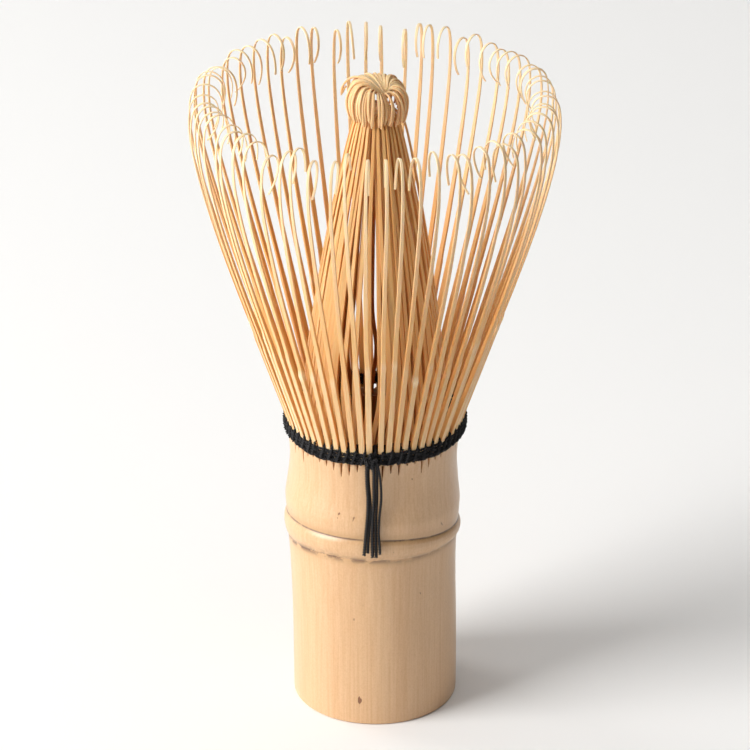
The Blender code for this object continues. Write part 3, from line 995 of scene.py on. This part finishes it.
class WHISK_OT_tails(bpy.types.Operator):
    """Build the thread's loose ends"""

    bl_idname = "whisk.tails"
    bl_label = "Loose ends"

    def execute(self, context):
        thread = context.scene.whisk_thread
        lines, _ = evenly_spaced(smooth_line(tail_controls(), 300), 150)
        forward = np.array([0.0, -1.0, 0.0])
        for i, line in enumerate(lines):
            thickness = 0.95 if i == 4 else 1.2
            piece = add_yarn(f"loose_end_{i + 1}", line[None], forward, thread, False, thickness)
            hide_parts(f"thread_tail_{i + 1}")
            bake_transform(piece)
        return {"FINISHED"}


# ------------------------------
# The stage


def add_light(name, size, power, at, towards):
    data = bpy.data.lights.new(name, "AREA")
    data.shape = "RECTANGLE"
    data.size, data.size_y = size
    data.energy = power
    obj = bpy.data.objects.new(name, data)
    bpy.context.scene.collection.objects.link(obj)
    obj.location = at
    aim(obj, towards)
    return obj


def aim(obj, towards):
    """Turn a light or the camera so that its -Z axis points at a place."""
    here = np.array(obj.location)
    ahead = unit(np.array(towards, float) - here)
    right = unit(np.cross(ahead, np.array([0.0, 0.0, 1.0])))
    up = np.cross(right, ahead)
    pan = math.atan2(right[1], right[0])
    tilt = math.acos(np.clip(up[2], -1, 1))
    obj.rotation_euler = (math.pi / 2 - math.copysign(tilt, -ahead[2]), 0.0, pan)


def floor_points():
    """A floor that sweeps up into a backdrop: (row, column, xyz) in millimetres. The sweep is a
    quarter circle between a flat and an upright stretch."""
    bend = np.linspace(0, np.pi / 2, 24)
    rise = 900.0
    y = np.concatenate([[-2600.0, -400.0], 1500 + rise * np.sin(bend), [1500 + rise]])
    z = np.concatenate([[0.0, 0.0], rise * (1 - np.cos(bend)), [4200.0]])
    x = np.linspace(-3200, 3200, 9)
    return np.stack(np.broadcast_arrays(x[None, :], y[:, None], z[:, None]), 2)


class WHISK_OT_stage(bpy.types.Operator):
    """Build the pale floor, the soft light and the camera"""

    bl_idname = "whisk.stage"
    bl_label = "Stage"

    def execute(self, context):
        stage = context.scene.whisk_stage
        scene = context.scene
        scene.view_settings.view_transform = "Standard"
        camera = bpy.data.objects.new("camera", bpy.data.cameras.new("camera"))
        scene.collection.objects.link(camera)
        camera.data.lens = stage.lens
        camera.data.sensor_width = 36.0
        camera.data.clip_start = 0.05
        camera.location = (0.0, -0.65, 0.3855)
        aim(camera, (0.0, 0.0, 0.0567))
        scene.camera = camera
        world = bpy.data.worlds.new("studio")
        world.use_nodes = True
        sky = world.node_tree.nodes["Background"]
        sky.inputs["Color"].default_value = (1.0, 1.0, 1.0, 1.0)
        sky.inputs["Strength"].default_value = stage.fill
        scene.world = world
        add_light("side_light", (0.7, 1.1), stage.key, (-1.05, -0.42, 0.62), (0.0, 0.0, 0.06))
        add_light("rim_light", (0.4, 0.9), stage.rim, (-0.85, 0.5, 0.4), (0.0, 0.0, 0.05))
        add_light("top_light", (2.6, 2.6), stage.top, (0.0, 0.05, 1.9), (0.0, 0.0, 0.0))
        material, tree, shader = new_material("matt_white_paper_sweep", 0.9, 0.1)
        shader.inputs["Base Color"].default_value = (*stage.floor, 1.0)
        points = floor_points()
        rows, columns, _ = points.shape
        quads, _, _, _ = tube_quads(1, rows, columns, False)
        keep = (quads % columns).max(1) - (quads % columns).min(1) == 1
        floor = add_piece("floor", points.reshape(-1, 3), quads[keep].tolist(), material)
        return {"FINISHED"}


# ------------------------------
# The add-on


class WHISK_PT_panel(bpy.types.Panel):
    """The whisk's sizes, finishes and build steps"""

    bl_idname = "WHISK_PT_panel"
    bl_label = "Tea Whisk"
    bl_space_type = "VIEW_3D"
    bl_region_type = "UI"
    bl_category = "Tea Whisk"

    def draw(self, context):
        layout = self.layout
        for operator in OPERATORS:
            layout.operator(operator.bl_idname)
        for group, kind in GROUPS.items():
            box = layout.box()
            box.label(text=kind.__name__)
            for key in kind.__annotations__:
                box.prop(getattr(context.scene, group), key)


OPERATORS = (
    WHISK_OT_stage,
    WHISK_OT_culm,
    WHISK_OT_outer_tines,
    WHISK_OT_inner_tines,
    WHISK_OT_binding,
    WHISK_OT_tails,
)
CLASSES = (*GROUPS.values(), *OPERATORS, WHISK_PT_panel)


def register():
    for cls in CLASSES:
        bpy.utils.register_class(cls)
    for group, kind in GROUPS.items():
        setattr(bpy.types.Scene, group, PointerProperty(type=kind))


def unregister():
    for group in GROUPS:
        delattr(bpy.types.Scene, group)
    for cls in reversed(CLASSES):
        bpy.utils.unregister_class(cls)


def main():
    register()
    bpy.ops.whisk.stage()
    bpy.ops.whisk.culm()
    bpy.ops.whisk.outer_tines()
    bpy.ops.whisk.inner_tines()
    bpy.ops.whisk.binding()
    bpy.ops.whisk.tails()


if __name__ == "__main__":
    main()
